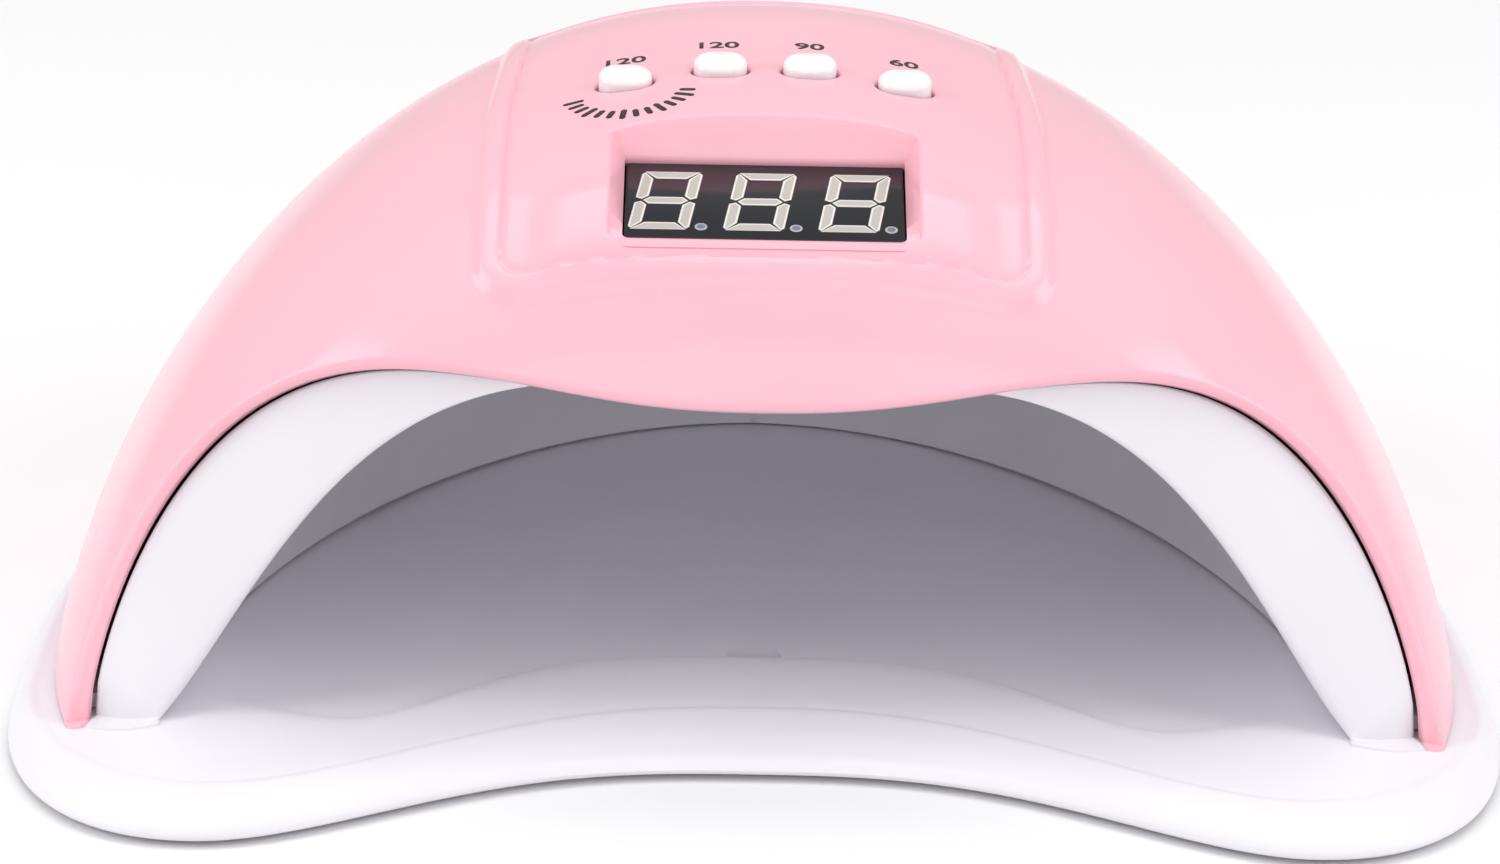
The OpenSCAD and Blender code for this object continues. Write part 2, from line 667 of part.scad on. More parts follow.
// each side pair runs from a side board up to its own connector
side_route = [[56.2, 73.7, 38.4], [54.5, 74.5, 44], [49, 75, 52], [41, 75, 58.5], [33, 73, 62.8], [25, 70, 65],
    [19.5, 67, 65.8], [18, 65.6, 66.6]];
pair_half = 1.15;
module routed(route, s, shift) {
    tube([for (p = route) place(s * p[0], p[1], p[2]) + shift * pair_half], lead_r);
}
module power_leads() {
    color("firebrick") routed(power_route, 1, [1, 0, 0]);
    color("black") routed(power_route, 1, [-1, 0, 0]);
}
module light_leads() {
    for (q = [[1, "firebrick"], [-1, "black"]]) color(q[1]) {
        routed(ceiling_route, 1, [q[0], 0, 0]);
        routed(rear_route, 1, [q[0], 0, 0]);
        for (s = [-1, 1]) routed(side_route, s, [0, q[0], 0]);
    }
}

base_tray();
tray_feet();
tray_magnets();
upper_housing();
inner_shell();
sole_ring();
head_magnets();
housing_screws();
control_board();
board_screws();
board_spacers();
display_body();
display_segments();
display_pins();
switch_bodies();
microcontroller();
inductor();
capacitor();
power_transistors();
board_connectors();
ceiling_led_board();
left_led_board();
right_led_board();
rear_led_board();
led_packages();
led_lenses();
sensor_emitter();
sensor_receiver();
jack_housing();
jack_pin();
jack_spring();
power_leads();
light_leads();
light_board_screws();
key_cap(key_places[0]);  // key_cap_1
key_cap(key_places[1]);  // key_cap_2
key_cap(key_places[2]);  // key_cap_3
key_cap(key_places[3]);  // key_cap_4
key_plunger(key_places[0]);  // key_plunger_1
key_plunger(key_places[1]);  // key_plunger_2
key_plunger(key_places[2]);  // key_plunger_3
key_plunger(key_places[3]);  // key_plunger_4
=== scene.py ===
import json
import math

import bmesh
import bpy
from mathutils import Matrix, Vector
from mathutils.bvhtree import BVHTree


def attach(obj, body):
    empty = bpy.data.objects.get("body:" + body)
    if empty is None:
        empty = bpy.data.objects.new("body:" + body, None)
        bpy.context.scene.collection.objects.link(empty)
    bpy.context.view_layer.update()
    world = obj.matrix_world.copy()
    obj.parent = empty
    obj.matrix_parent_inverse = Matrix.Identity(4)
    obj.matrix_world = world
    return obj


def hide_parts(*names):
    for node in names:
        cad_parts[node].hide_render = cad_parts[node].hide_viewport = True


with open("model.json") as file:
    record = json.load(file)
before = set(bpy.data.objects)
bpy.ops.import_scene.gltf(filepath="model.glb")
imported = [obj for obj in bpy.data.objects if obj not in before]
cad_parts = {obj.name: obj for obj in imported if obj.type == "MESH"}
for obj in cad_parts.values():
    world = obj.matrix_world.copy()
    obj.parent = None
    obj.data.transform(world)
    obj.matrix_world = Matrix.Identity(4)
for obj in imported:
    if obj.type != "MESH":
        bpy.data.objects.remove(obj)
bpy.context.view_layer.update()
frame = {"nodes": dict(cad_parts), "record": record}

# Lengths are in millimetres and angles in degrees until a mesh is finished.
# Depths are counted back from the front hollow of the tray; the frame's origin is MIDDLE behind it.
MM = 0.001
MIDDLE = 60.0
HEAD_Z = 5.5
DOME_BACK = 139.0
DOME_H = 76.7
DOME_HALF_W = 96.4
SHELL_INSET = 2.6
CAVITY_HALF_W = 80.0
CAVITY_H = 47.5
CAVITY_BACK = 126.0
TRAY_SEAT_Z = 5.2
WORLD = Matrix.Translation((0, -MIDDLE * MM, 0)) @ Matrix.Scale(MM, 4)


# ---- sums in degrees ----
def sin(a):
    return math.sin(math.radians(a))


def cos(a):
    return math.cos(math.radians(a))


def turned(degrees, axis):
    return Matrix.Rotation(math.radians(degrees), 4, axis)


def mix(a, b, f):
    return a + (b - a) * f


def smooth(s):
    s = min(1.0, max(0.0, s))
    return s * s * (3 - 2 * s)


def power(b, e):
    return b**e if b > 0 else 0.0


def quarter(r, n):
    """Height of a superellipse quarter at the fraction r of its length."""
    return power(1 - power(min(1.0, r), n), 1 / n)


def arcsin(s):
    return math.degrees(math.asin(min(1.0, max(0.0, s))))


# ---- the dome ----
def dome_width(t, inset):
    if t < 32:
        return (DOME_HALF_W - inset) * quarter((32 - t) / 102.7, 2)
    return (DOME_HALF_W - inset) * quarter((t - 32) / (DOME_BACK - inset - 32), 2.78)


def dome_height(t, inset):
    if t < 75:
        return (DOME_H - inset) * quarter((75 - t) / (71.2 - inset), 3.46)
    return (DOME_H - inset) * quarter((t - 75) / (DOME_BACK - inset - 75), 2.6)


def dome_round(t):
    return 1 - (1 - min(1.0, max(0.0, t / DOME_BACK))) ** 2


def side_power(t):
    return mix(0.8, 0.92, dome_round(t))


def rise_power(t):
    return mix(1.4, 1.26, dome_round(t))


def dome_edge(u, inset):
    """Depth of the dome's front edge: the visor in the middle and the arches at its sides."""
    wave = 1.43 * cos(2 * u) - 6.1 * cos(4 * u) + 1.13 * cos(6 * u)
    return 10.66 + wave + inset * cos(u)


def dome_point(u, t, inset):
    side = power(abs(sin(u)), side_power(t))
    rise = power(cos(u), rise_power(t))
    x = math.copysign(dome_width(t, inset) * side, u)
    return Vector((x, t, HEAD_Z + dome_height(t, inset) * rise))


# ---- the raised control panel ----
PANEL_HALF_W = 38.5
PANEL_FRONT = 14.1
PANEL_REAR = 105.0
PANEL_WAVE = 0.25
PANEL_WAVE_W = 29.0
PANEL_CORNER = 7.0
PANEL_STEP = 0.35
BEAD_W = 3.0
BEAD_H = 0.6
GROOVE = 0.2
SEAT_DROP = 0.5


def panel_depth(x, t):
    """How far a point lies inside the outline of the panel, negative outside."""
    ax = abs(x)
    side = PANEL_HALF_W - 1.5 * smooth((t - 45) / 50) - ax
    wave = PANEL_WAVE * (1 + cos(180 * min(1.0, ax / PANEL_WAVE_W))) / 2
    end = min((t - PANEL_FRONT - wave) * 1.25, PANEL_REAR - t)
    if side < PANEL_CORNER and end < PANEL_CORNER:
        return PANEL_CORNER - math.hypot(PANEL_CORNER - side, PANEL_CORNER - end)
    return min(side, end)


def relief(x, t):
    """How far the panel, its bead and its groove lift the surface of the dome."""
    d = panel_depth(x, t)
    crown = 0.7 + 0.3 * sin(180 * min(1.0, max(0.0, d / BEAD_W)))
    bead = BEAD_H * crown * smooth(d / 1.3 + 0.5) * smooth((BEAD_W - d) / 0.45 + 0.5)
    groove = GROOVE * smooth(1 - abs(d - BEAD_W - 0.4) / 0.75)
    return PANEL_STEP * smooth(d / 1.3 + 0.5) + bead - groove + level_seat(x, t)


def level_seat(x, t):
    """How far the surface moves so that it runs straight across the front of the window."""
    reach = smooth(1 - max(0.0, abs(x) - 21.5) / 11) * smooth((t - 14.5) / 3.5) * smooth((31 - t) / 8)
    if reach == 0:
        return 0.0
    side = arcsin(power(abs(x) / dome_width(t, 0), 1 / side_power(t)))
    fall = dome_height(t, 0) * (1 - power(cos(side), rise_power(t)))
    return reach * (fall - SEAT_DROP)


# ---- the hand cavity ----
def cavity_round(t):
    return smooth((t - 4) / 90)


def cavity_side(t):
    return mix(0.5, 0.9, cavity_round(t))


def cavity_point(u, t):
    width = CAVITY_HALF_W * quarter(max(0.0, t - 2) / (CAVITY_BACK - 2), 1.85)
    height = CAVITY_H * quarter(max(0.0, t - 60) / (CAVITY_BACK - 60), 2.3)
    side = power(abs(sin(u)), cavity_side(t))
    rise = power(cos(u), mix(2.8, 1.15, cavity_round(t)))
    return Vector((math.copysign(width * side, u), t, HEAD_Z + height * rise))


def arch_edge(u):
    return 3.5 + 8.5 * cos(u)


def lip_start(u):
    """The outer edge of the lip, just inside the housing's front edge."""
    return dome_point(u, dome_edge(u, SHELL_INSET), SHELL_INSET)


def lip_start_over(u):
    """The place on the outer edge of the lip that lies outwards of the arch at the angle u."""
    x = cavity_point(u, arch_edge(u)).x
    x *= mix(1, lip_start(90).x / cavity_point(90, arch_edge(90)).x, (x / CAVITY_HALF_W) ** 2)
    low, high = 0.0, 90.0
    for _ in range(40):
        middle = (low + high) / 2
        if lip_start(middle).x < x:
            low = middle
        else:
            high = middle
    return lip_start(high)


def lip_point(u, start, f):
    end = cavity_point(u, arch_edge(u))
    crown = 1.2 * sin(180 * f) * (1 - cos(u))
    return start.lerp(end, f) + Vector((0, -crown, 0))


# ---- making meshes ----
def new_piece(name, bm, body, finishes, node=None, crease=34, wall=None):
    """Makes a piece of the mesh, which rides on a body and stands for CAD nodes."""
    mesh = bpy.data.meshes.new(name)
    bm.to_mesh(mesh)
    bm.free()
    mesh.shade_smooth()
    mesh.set_sharp_from_angle(angle=math.radians(crease))
    piece = bpy.data.objects.new(name, mesh)
    bpy.context.collection.objects.link(piece)
    for finish in finishes:
        mesh.materials.append(finish)
    if wall:
        skin = piece.modifiers.new("wall", "SOLIDIFY")
        skin.thickness = wall * MM
        skin.offset = -1
    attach(piece, body)
    if node:
        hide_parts(*node)
    return piece


def grid_sheet(columns, rows, point):
    """A grid of quads with each corner moved to point(column, row)."""
    bm = bmesh.new()
    bmesh.ops.create_grid(bm, x_segments=columns - 1, y_segments=rows - 1, size=1)
    xs = sorted({round(v.co.x, 5) for v in bm.verts})
    ys = sorted({round(v.co.y, 5) for v in bm.verts})
    column_of = {x: i for i, x in enumerate(xs)}
    row_of = {y: j for j, y in enumerate(ys)}
    for v in bm.verts:
        v.co = point(column_of[round(v.co.x, 5)], row_of[round(v.co.y, 5)])
    return bm


def close_loop(bm, points):
    verts = [bm.verts.new(p) for p in points]
    return [bm.edges.new((verts[i - 1], verts[i])) for i in range(len(verts))]


def pull_loop(bm, edges, move):
    """Extrudes a loop of edges, and moves each new corner to move(its old place)."""
    made = bmesh.ops.extrude_edge_only(bm, edges=edges)["geom"]
    verts = {g for g in made if isinstance(g, bmesh.types.BMVert)}
    for v in verts:
        v.co = move(v.co.copy())
    return [g for g in made if isinstance(g, bmesh.types.BMEdge) and set(g.verts) <= verts]


def loft(bm, rings, caps=(True, True)):
    """A skin through rings that have the same number of points."""
    edges = close_loop(bm, rings[0])
    if caps[0]:
        bmesh.ops.contextual_create(bm, geom=edges)
    for a, b in zip(rings, rings[1:]):
        to = {key(p): q for p, q in zip(a, b)}
        edges = pull_loop(bm, edges, lambda p: to[key(p)])
    if caps[1]:
        bmesh.ops.contextual_create(bm, geom=edges)
    return edges


def key(p):
    return (round(p[0], 5), round(p[1], 5), round(p[2], 5))


def finish_mesh(bm, to_world=WORLD):
    bmesh.ops.remove_doubles(bm, verts=bm.verts, dist=1e-4)
    bmesh.ops.recalc_face_normals(bm, faces=bm.faces)
    bmesh.ops.transform(bm, matrix=to_world, verts=bm.verts)


def face_towards(bm, near, direction):
    """Turns the whole sheet over if the face nearest to a point looks away from direction."""
    face = min(bm.faces, key=lambda f: (f.calc_center_median() - near).length)
    if face.normal.dot(direction) < 0:
        bmesh.ops.reverse_faces(bm, faces=bm.faces)


def soften(bm, verts, times):
    for _ in range(times):
        bmesh.ops.smooth_vert(bm, verts=verts, factor=0.5, use_axis_x=True, use_axis_y=True, use_axis_z=True)


# ---- outlines ----
def pill_outline(w, d, n=14):
    """A flat pill, w wide and d deep, as points that run anticlockwise."""
    r = d / 2
    ends = []
    for centre, start in ((w / 2 - r, -90), (r - w / 2, 90)):
        ends += [(centre + r * cos(start + 180 * i / n), r * sin(start + 180 * i / n)) for i in range(n + 1)]
    return ends


def circle_outline(r, n=28):
    return [(r * cos(360 * i / n), r * sin(360 * i / n)) for i in range(n)]


def inside(p, outline):
    hit = False
    x, y = p
    for i in range(len(outline)):
        (ax, ay), (bx, by) = outline[i - 1], outline[i]
        if (ay > y) != (by > y) and x < ax + (bx - ax) * (y - ay) / (by - ay):
            hit = not hit
    return hit


def nearest_on(p, outline):
    """Where along the outline, counted in points, it comes nearest to p."""
    best, place = 1e9, 0.0
    for i in range(len(outline)):
        a = Vector(outline[i])
        b = Vector(outline[(i + 1) % len(outline)])
        f = (p - a).dot(b - a) / max(1e-12, (b - a).length_squared)
        f = min(1.0, max(0.0, f))
        gap = (p - a.lerp(b, f)).length_squared
        if gap < best:
            best, place = gap, i + f
    return place


def along(points, place):
    i = int(place) % len(points)
    return points[i].lerp(points[(i + 1) % len(points)], place - int(place))


def open_hole(bm, tree, spot, rings, reach=6.0):
    """Opens a hole in a sheet. The first ring is the outline on the surface, seen along the spot's own z.
    Each later ring is (outline, drop), where drop is a depth under the surface or a rule for the height."""
    back = spot.inverted()
    outline = rings[0]
    down = -(spot.to_3x3() @ Vector((0, 0, 1))).normalized()
    top = []
    for x, y in outline:
        hit = tree.ray_cast(spot @ Vector((x, y, reach)), down)[0]
        top.append(back @ hit)
    margin = Vector((1.5, 1.5, 3.0))
    low = Vector([min(p[k] for p in top) for k in range(3)]) - margin
    high = Vector([max(p[k] for p in top) for k in range(3)]) + margin

    def near(p):
        return all(low[k] < p[k] < high[k] for k in range(3))

    gone = []
    for f in bm.faces:
        p = back @ f.calc_center_median()
        if near(p) and inside((p.x, p.y), outline):
            gone.append(f)
    bmesh.ops.delete(bm, geom=gone, context="FACES")
    edges = [e for e in bm.edges if len(e.link_faces) == 1 and all(near(back @ v.co) for v in e.verts)]
    places = {}
    for v in {v for e in edges for v in e.verts}:
        p = back @ v.co
        place = nearest_on(Vector((p.x, p.y)), outline)
        v.co = spot @ along(top, place)
        places[tuple(v.co)] = place
    for shape, drop in rings[1:]:
        if callable(drop):
            points = [Vector((x, y, drop(x, y))) for x, y in shape]
        else:
            points = [Vector((x, y, p.z - drop)) for (x, y), p in zip(shape, top)]
        moved = {}

        def move(co):
            place = places[tuple(co)]
            to = spot @ along(points, place)
            moved[tuple(to)] = place
            return to

        edges = pull_loop(bm, edges, move)
        for e in edges:
            for v in e.verts:
                if tuple(v.co) not in moved:
                    moved[tuple(v.co)] = nearest_on(Vector((back @ v.co)[:2]), shape)
        places = moved


# ---- finishes ----
class Sum:
    """A number in a material that takes part in sums."""

    def __init__(self, finish, socket):
        self.finish = finish
        self.socket = socket

    def maths(self, how, a, b):
        return self.finish.node("ShaderNodeMath", {"operation": how}, {0: a, 1: b})[0]

    def __add__(self, other):
        return self.maths("ADD", self, other)

    __radd__ = __add__

    def __mul__(self, other):
        return self.maths("MULTIPLY", self, other)

    __rmul__ = __mul__


class Finish:
    """Builds one material from nodes."""

    def __init__(self, name):
        self.material = bpy.data.materials.new(name)
        self.material.use_nodes = True
        self.tree = self.material.node_tree
        self.shader = next(n for n in self.tree.nodes if n.type == "BSDF_PRINCIPLED")
        self.place = self.node("ShaderNodeTexCoord", {}, {})["Object"]

    def node(self, kind, settings, sockets):
        made = self.tree.nodes.new(kind)
        for name, value in settings.items():
            if name == "stops":
                ramp = made.color_ramp
                for i, (at, colour) in enumerate(value):
                    stop = ramp.elements[i] if i < 2 else ramp.elements.new(at)
                    stop.position = at
                    stop.color = colour
            else:
                setattr(made, name, value)
        for name, value in sockets.items():
            self.feed(made.inputs[name], value)
        return {**{i: Sum(self, s) for i, s in enumerate(made.outputs)},
                **{s.name: Sum(self, s) for s in made.outputs if s.enabled}}

    def feed(self, socket, value):
        if isinstance(value, Sum):
            self.tree.links.new(value.socket, socket)
        elif hasattr(value, "__len__") and len(value) == 3 and socket.type == "RGBA":
            socket.default_value = (*value, 1)
        else:
            socket.default_value = value

    def noise(self, scale, detail=2.0, stretch=(1, 1, 1)):
        where = self.node("ShaderNodeMapping", {}, {"Vector": self.place, "Scale": stretch})["Vector"]
        return self.node(
            "ShaderNodeTexNoise", {}, {"Vector": where, "Scale": scale, "Detail": detail}
        )[0]

    def between(self, value, low, high):
        """0 under low, 1 over high."""
        return self.node(
            "ShaderNodeMapRange",
            {"interpolation_type": "SMOOTHSTEP"},
            {"Value": value, "From Min": low, "From Max": high, "To Min": 0.0, "To Max": 1.0},
        )["Result"]

    def colours(self, a, b, how_much):
        made = self.node("ShaderNodeMix", {"data_type": "RGBA"}, {"Factor": how_much})
        mixer = made[2].socket.node
        self.feed(mixer.inputs[6], a)
        self.feed(mixer.inputs[7], b)
        return Sum(self, mixer.outputs[2])

    def bump(self, height, strength, distance):
        return self.node(
            "ShaderNodeBump", {}, {"Height": height, "Strength": strength, "Distance": distance}
        )["Normal"]

    def set(self, **sockets):
        for name, value in sockets.items():
            self.feed(self.shader.inputs[name.replace("_", " ")], value)
        return self.material


def plastic(name, colour, shade, rough, grain, depth, coat=0.0, specular=0.5):
    """Moulded plastic with a faint orange peel or grain, handling marks and worn patches."""
    f = Finish(name)
    cloud = f.noise(28.0, 3.0)
    peel = f.noise(grain, 3.0)
    marks = f.between(f.noise(260.0, 6.0, (1, 0.25, 1)), 0.60, 0.74)
    worn = f.between(f.noise(75.0, 5.0), 0.50, 0.78)
    tone = f.colours(colour, shade, f.between(cloud, 0.32, 0.72) * 0.55 + worn * 0.2)
    f.shader.inputs["Coat Roughness"].default_value = 0.06
    return f.set(
        Base_Color=tone,
        Roughness=rough + cloud * rough * 0.25 + marks * 0.09 + worn * 0.03,
        Coat_Weight=coat,
        Specular_IOR_Level=specular,
        Normal=f.bump(peel + marks * 0.15, 0.35, depth),
    )


def metal(name, colour, dark, rough, brushed=(1, 1, 12)):
    """Plated metal with brushing, dull spots and fine scratches."""
    f = Finish(name)
    lines = f.noise(900.0, 4.0, brushed)
    spots = f.between(f.noise(320.0, 4.0), 0.52, 0.72)
    return f.set(
        Base_Color=f.colours(colour, dark, spots * 0.5),
        Metallic=1.0,
        Roughness=rough + lines * 0.16 + spots * 0.15,
        Normal=f.bump(lines, 0.3, 0.00004),
    )


def solder_mask(name, colour, dark, rough):
    """Varnish over woven glass, with its weave showing and tracks under it."""
    f = Finish(name)
    threads = {"Color1": (1, 1, 1), "Color2": (0.7, 0.7, 0.7), "Mortar": (0, 0, 0)}
    weave = f.node("ShaderNodeTexBrick", {"offset": 0.5}, {"Vector": f.place, "Scale": 420.0, **threads})[1]
    cells = f.node("ShaderNodeTexVoronoi", {"distance": "MANHATTAN"}, {"Vector": f.place, "Scale": 190.0})
    tracks = f.between(cells["Distance"], 0.36, 0.42)
    cloud = f.noise(120.0, 3.0)
    return f.set(
        Base_Color=f.colours(colour, dark, tracks * 0.5 + cloud * 0.2),
        Roughness=rough + cloud * 0.15,
        Normal=f.bump(weave * 0.4 + tracks, 0.4, 0.00004),
    )


def clear_lens(name, colour, rough):
    """Moulded clear epoxy with a faint haze and flow lines."""
    f = Finish(name)
    haze = f.noise(500.0, 3.0)
    f.shader.inputs["Transmission Weight"].default_value = 0.65
    f.shader.inputs["IOR"].default_value = 1.52
    return f.set(
        Base_Color=f.colours(colour, (0.92, 0.92, 0.98), haze),
        Roughness=rough + haze * 0.08,
        Normal=f.bump(haze, 0.2, 0.00003),
    )


FINISHES = {
    "housing_pink": plastic(
        "gloss_pale_pink", (0.960, 0.490, 0.575), (0.930, 0.455, 0.545), 0.17, 420.0, 0.000012,
        coat=0.15, specular=0.42
    ),
    "shell_white": plastic(
        "satin_lavender_white", (0.79, 0.765, 0.81), (0.755, 0.73, 0.775), 0.36, 2600.0, 0.00003
    ),
    "tray_white": plastic(
        "satin_tray_white", (0.83, 0.805, 0.855), (0.79, 0.765, 0.815), 0.38, 2600.0, 0.00003
    ),
    "rubber_grey": plastic(
        "matt_rubber", (0.035, 0.035, 0.038), (0.06, 0.06, 0.06), 0.75, 3400.0, 0.00008
    ),
    "magnet_nickel": metal("nickel_plating", (0.78, 0.77, 0.74), (0.50, 0.49, 0.46), 0.12, (1, 1, 1)),
    "screw_steel": metal("zinc_plated_steel", (0.62, 0.62, 0.63), (0.36, 0.36, 0.38), 0.28),
    "board_green": solder_mask("green_varnish", (0.03, 0.20, 0.10), (0.015, 0.12, 0.06), 0.32),
    "spacer_nylon": plastic(
        "natural_nylon", (0.74, 0.73, 0.67), (0.66, 0.64, 0.57), 0.45, 1800.0, 0.00005
    ),
    "pin_tin": metal("tinned_brass", (0.74, 0.74, 0.72), (0.50, 0.50, 0.47), 0.30),
    "component_black": plastic(
        "matt_black_epoxy", (0.018, 0.018, 0.019), (0.030, 0.030, 0.031), 0.48, 2400.0, 0.00006
    ),
    "ferrite_copper": metal("enamelled_copper", (0.60, 0.30, 0.14), (0.33, 0.14, 0.06), 0.25, (1, 1, 30)),
    "capacitor_sleeve": plastic(
        "shrink_sleeve", (0.02, 0.03, 0.12), (0.03, 0.04, 0.16), 0.28, 900.0, 0.00004
    ),
    "connector_ivory": plastic(
        "ivory_nylon", (0.76, 0.70, 0.56), (0.68, 0.61, 0.47), 0.42, 1800.0, 0.00005
    ),
    "board_aluminium": solder_mask("white_varnish", (0.80, 0.80, 0.78), (0.70, 0.71, 0.70), 0.30),
    "package_yellow": plastic(
        "phosphor_yellow", (0.72, 0.52, 0.10), (0.62, 0.43, 0.07), 0.40, 2200.0, 0.00004
    ),
    "lens_clear": clear_lens("clear_epoxy", (0.80, 0.84, 0.96), 0.05),
    "lens_dark": plastic(
        "dark_filter_epoxy", (0.020, 0.010, 0.026), (0.035, 0.018, 0.040), 0.10, 700.0, 0.00002
    ),
    "contact_gold": metal("gold_flash", (0.80, 0.58, 0.24), (0.55, 0.37, 0.14), 0.2),
    "lead_pvc": plastic("lead_covering", (0.50, 0.03, 0.03), (0.40, 0.02, 0.02), 0.35, 1500.0, 0.00006),
    "key_white": plastic(
        "gloss_key_white", (0.86, 0.86, 0.875), (0.82, 0.82, 0.84), 0.13, 900.0, 0.000012, coat=0.4
    ),
    "display_black": plastic(
        "polished_black", (0.010, 0.011, 0.015), (0.014, 0.014, 0.019), 0.10, 600.0, 0.000006, specular=0.3
    ),
    "segment_grey": plastic(
        "milky_segment", (0.50, 0.47, 0.43), (0.44, 0.41, 0.37), 0.38, 1500.0, 0.00002
    ),
}
segment_rim = plastic("segment_rim", (0.80, 0.77, 0.74), (0.74, 0.71, 0.68), 0.35, 1500.0, 0.00002)
point_grey = plastic("point_grey", (0.40, 0.43, 0.50), (0.34, 0.36, 0.42), 0.3, 1500.0, 0.00002)
point_core = plastic("point_core", (0.16, 0.18, 0.23), (0.13, 0.15, 0.19), 0.3, 1500.0, 0.00002)
label_ink = plastic("label_ink", (0.012, 0.010, 0.012), (0.020, 0.016, 0.018), 0.42, 2200.0, 0.00003)

slot_of = {row["node"]: row["material_slot"] for row in frame["record"]["subparts"]}
for name, obj in frame["nodes"].items():
    for slot in obj.material_slots:
        slot.material = FINISHES[slot_of[name]]


# ---- upper housing ----
FINE_W = 42.0
FINE_REAR = 106.0
SIDE_COLUMNS = 44
HOUSING_WALL = 1.5
EDGE_R = 0.9
EDGE_FADE = 36.0
VISOR_T = dome_edge(0, 0)


def spaced(stops):
    """Places from one stop to the next at about the step given for each."""
    made = [stops[0][0]]
    for (a, step), (b, _) in zip(stops, stops[1:]):
        n = max(1, round((b - a) / step))
        made += [a + (b - a) * (i + 1) / n for i in range(n)]
    return made


fine = spaced([(0, 0.8), (17, 0.45), (22.4, 0.8), (33.5, 0.4), (40, 0.7), (FINE_W, 1)])
right_columns = [x / FINE_W for x in fine] + [1 + (i + 1) / SIDE_COLUMNS for i in range(SIDE_COLUMNS)]
housing_columns = [-c for c in right_columns[:0:-1]] + right_columns
# the first rows roll round the front edge, as (inset, how far up the surface from the edge)
edge_rows = [(2.3, 0.3), (1.5, 0.05)]
edge_rows += [(EDGE_R * (1 - cos(a)), EDGE_R * (1 - sin(a))) for a in (90, 68, 45, 22, 0)]


def housing_turn(c, t, inset):
    """The angle round the dome of a column: within the fine middle the columns are straight."""
    w = dome_width(min(t, FINE_REAR), inset)
    e = 1 / side_power(t)
    if abs(c) <= 1:
        return math.copysign(arcsin(power(abs(c) * FINE_W / w, e)), c)
    return math.copysign(mix(arcsin(power(FINE_W / w, e)), 90, abs(c) - 1), c)


def front_of(c):
    """Where the front edge crosses a column."""
    t = VISOR_T
    for _ in range(20):
        t = mix(t, dome_edge(housing_turn(c, t, 0), 0), 0.8)
    return t


def depth_per_step(c, t):
    """How much depth a step of one up the surface from the front edge takes."""
    a, b = (dome_point(housing_turn(c, s, 0), s, 0) for s in (t, t + 0.5))
    return 0.5 / max(0.5, (b - a).length)


fronts = [front_of(c) for c in housing_columns]
steps_up = [depth_per_step(c, t) for c, t in zip(housing_columns, fronts)]
starts = [t + EDGE_R * k for t, k in zip(fronts, steps_up)]
first_start = starts[len(starts) // 2]
depth_rows = spaced([
    (first_start + 0.2, 0.22), (11, 0.3), (20, 0.5), (40, 0.85), (64, 1.5),
    (101, 0.8), (107, 1.7), (130, 0.9), (137, 0.4), (DOME_BACK, 1),
])


def housing_point(i, j):
    c = housing_columns[i]
    if j < len(edge_rows):
        inset, up_by = edge_rows[j]
        t = fronts[i] + inset * cos(housing_turn(c, fronts[i], 0)) + up_by * steps_up[i]
        return dome_point(housing_turn(c, t, inset), t, inset)
    row = depth_rows[j - len(edge_rows)]
    fade = max(0.0, 1 - (row - first_start) / EDGE_FADE) ** 2
    t = row + (starts[i] - first_start) * fade
    p = dome_point(housing_turn(c, t, 0), t, 0)
    return p + Vector((0, 0, relief(p.x, t)))


housing = grid_sheet(len(housing_columns), len(edge_rows) + len(depth_rows), housing_point)
finish_mesh(housing, WORLD)
face_towards(housing, Vector((0, 0, 0.083)), Vector((0, 0, 1)))
housing_skin = BVHTree.FromBMesh(housing)


def skin_height(x, t):
    """Height of the housing over a place, in millimetres."""
    above = Vector((x * MM, (t - MIDDLE) * MM, 0.2))
    hit = housing_skin.ray_cast(above, Vector((0, 0, -1)))[0]
    return hit.z / MM


# the frame of the display and the keys: on the display's face, z along the travel of the keys
PANEL_TILT = 15
DISPLAY_T = 28.2
DISPLAY_Z = 72.5
ON_PANEL = WORLD @ Matrix.Translation((0, DISPLAY_T, DISPLAY_Z)) @ turned(PANEL_TILT, "X")
KEY_PLACES = [(-19.3, 27.6, 1.1), (-6.2, 30.7, 1.6), (6.2, 30.7, 1.6), (19.3, 27.6, 1.1)]
KEY_W = 7.4
KEY_D = 5.2
KEY_GAP = 0.45
KEY_HOLE_DEPTH = 2.4


def face_height(t):
    return DISPLAY_Z + (t - DISPLAY_T) * math.tan(math.radians(PANEL_TILT))


# the window: straight sides that slope in, and a brow that slopes down to a ledge over the display
WINDOW_FRONT = 19.0
WINDOW_BACK = 37.3
WINDOW_HALF_W = 20.7
WINDOW_CORNER = 0.9
LEDGE_HALF_W = 18.95
LEDGE_RISE = 1.1
BROW_BACK = 37.2
BROW_ARCH = 3.8
WINDOW_STEPS = 26


def window_outline(half, front, back, grow):
    """Points round the window, anticlockwise from the middle of its front."""
    half += grow
    n = WINDOW_STEPS
    r = WINDOW_CORNER + grow
    front -= grow
    points = [(half * i / n, front) for i in range(n)]
    points += [(half, mix(front, back(half), i / n)) for i in range(n)]
    points += [(mix(half, 0, i / n), back(mix(half, 0, i / n)) + grow) for i in range(n)]
    points += [(-x, y) for x, y in reversed(points[1:])]
    rounded = []
    for x, y in points:
        ax = abs(x)
        if ax > half - r and y < front + r:
            d = Vector((ax - half + r, y - front - r))
            d = d.normalized() * r if d.length > 0 else d
            ax, y = half - r + d.x, front + r + d.y
        rounded.append((math.copysign(ax, x), y))
    return rounded


def brow(x):
    return BROW_BACK + BROW_ARCH * quarter(abs(x) / 21.5, 2.2)


def ledge(x):
    return WINDOW_BACK


